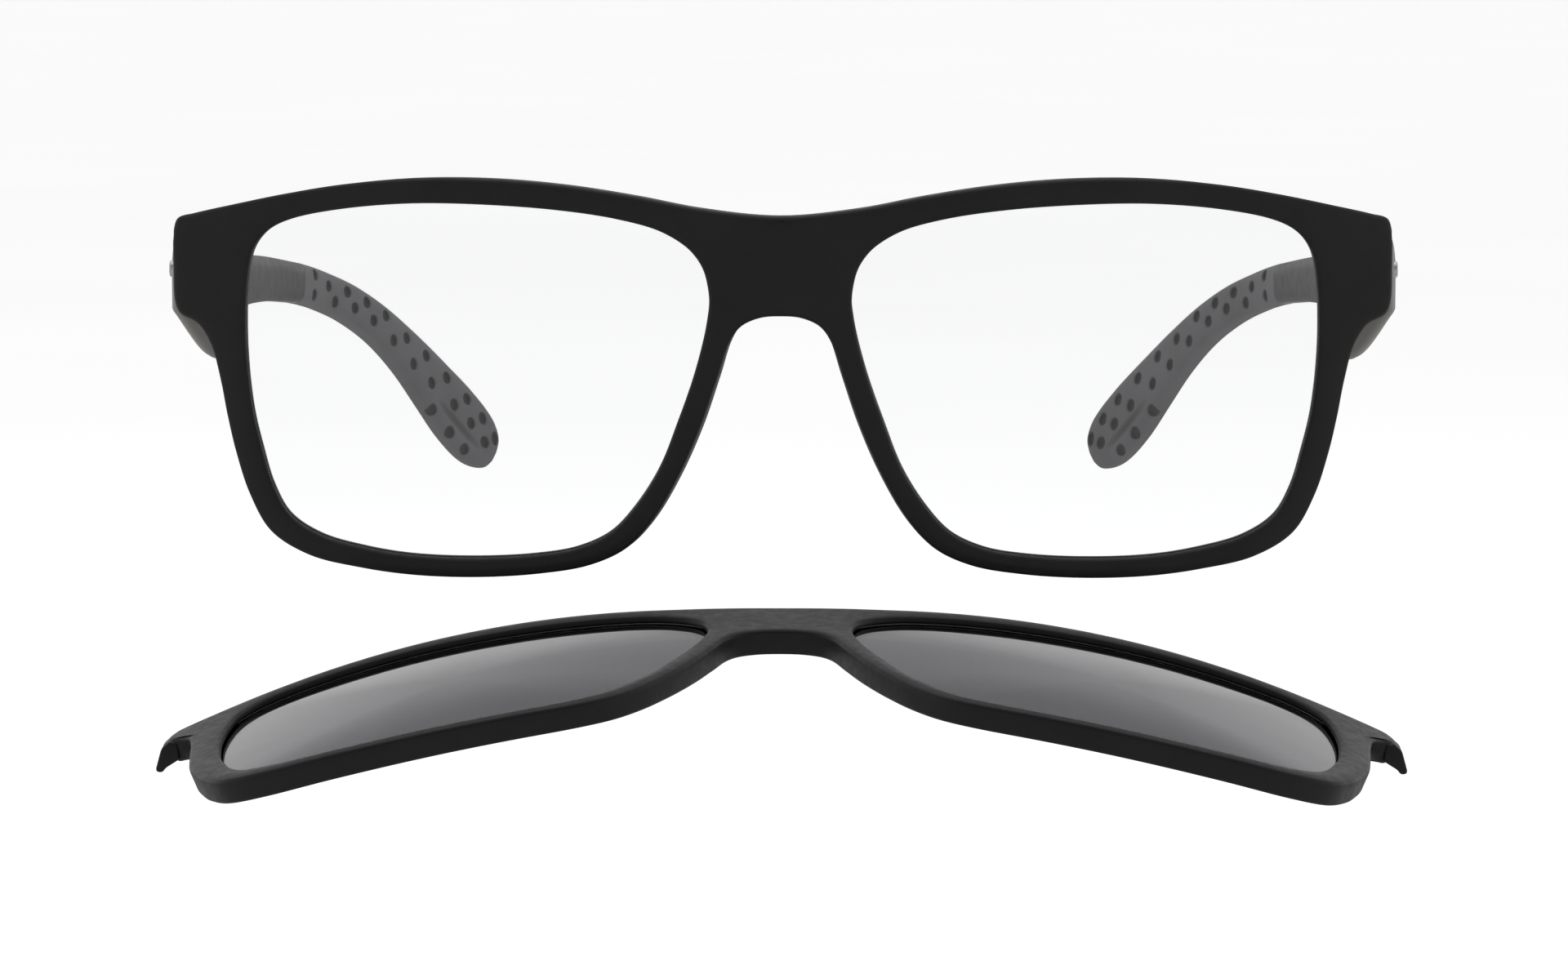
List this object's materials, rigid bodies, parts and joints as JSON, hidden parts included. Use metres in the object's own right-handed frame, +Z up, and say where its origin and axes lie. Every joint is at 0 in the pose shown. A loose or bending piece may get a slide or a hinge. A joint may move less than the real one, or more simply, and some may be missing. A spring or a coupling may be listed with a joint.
{
  "type": "clip-on sunglasses with frame",
  "caption": "Spectacle frame with folding temples and a magnetic clip-on front with smoke-grey sun lenses.",
  "frame": {"origin": "top of the nose arch, where the saddle sits on the nose", "axes": "+X to the frame's right in a front view, -Y forwards out of the lenses, +Z up as worn"},
  "size_m": [0.1488, 0.1863, 0.0701],
  "materials": {
    "frame_plastic": "matte black injected nylon",
    "clip_plastic": "matte black injected nylon, slightly softer sheen",
    "clear_lens": "clear demonstration lens",
    "sun_lens": "smoke-grey tinted lens, polished",
    "temple_plastic": "matte grey injected nylon",
    "sleeve_rubber": "soft-touch grey rubber with dimples",
    "stud_steel": "satin steel, plain",
    "hinge_steel": "tumbled nickel silver",
    "screw_steel": "bright stainless",
    "magnet": "nickel plated"
  },
  "bodies": {
    "front": {"front_frame": "frame_plastic", "front_lens_right": "clear_lens", "front_lens_left": "clear_lens", "frame_magnet_right": "magnet", "frame_magnet_left": "magnet", "front_hinge_leaf_right": "hinge_steel", "front_hinge_leaf_left": "hinge_steel", "hinge_screw_right": "screw_steel", "hinge_screw_left": "screw_steel"},
    "right_temple": {"temple_right": "temple_plastic", "temple_sleeve_right": "sleeve_rubber", "temple_hinge_leaf_right": "hinge_steel", "temple_stud_right": "stud_steel"},
    "left_temple": {"temple_left": "temple_plastic", "temple_sleeve_left": "sleeve_rubber", "temple_hinge_leaf_left": "hinge_steel", "temple_stud_left": "stud_steel"},
    "clip_magnets": {"clip_magnet_right": "magnet", "clip_magnet_left": "magnet"},
    "clip_on": {"clip_frame": "clip_plastic", "sun_lens_right": "sun_lens", "sun_lens_left": "sun_lens"}
  },
  "joints": [
    {"name": "right_temple_fold", "type": "hinge", "parent": "front", "child": "right_temple", "pos_m": [0.067, 0.0204, 0.0048], "axis": [0, 0, 1], "range_deg": [0, 71]},
    {"name": "left_temple_fold", "type": "hinge", "parent": "front", "child": "left_temple", "pos_m": [-0.067, 0.0204, 0.0048], "axis": [0, 0, -1], "range_deg": [0, 78]},
    {"name": "clip_carry", "type": "hinge", "parent": "front", "child": "clip_magnets", "pos_m": [0, -0.00529, -0.02011], "axis": [-1, 0, 0], "range_deg": [0, 222.78]},
    {"name": "clip_turn", "type": "hinge", "parent": "clip_magnets", "child": "clip_on", "pos_m": [0, 0.0024, -0.0521], "axis": [1, 0, 0], "range_deg": [0, 306.8]}
  ],
  "couplings": [
    {"joint": "clip_turn", "follows": "clip_carry", "ratio": 1.3771}
  ]
}
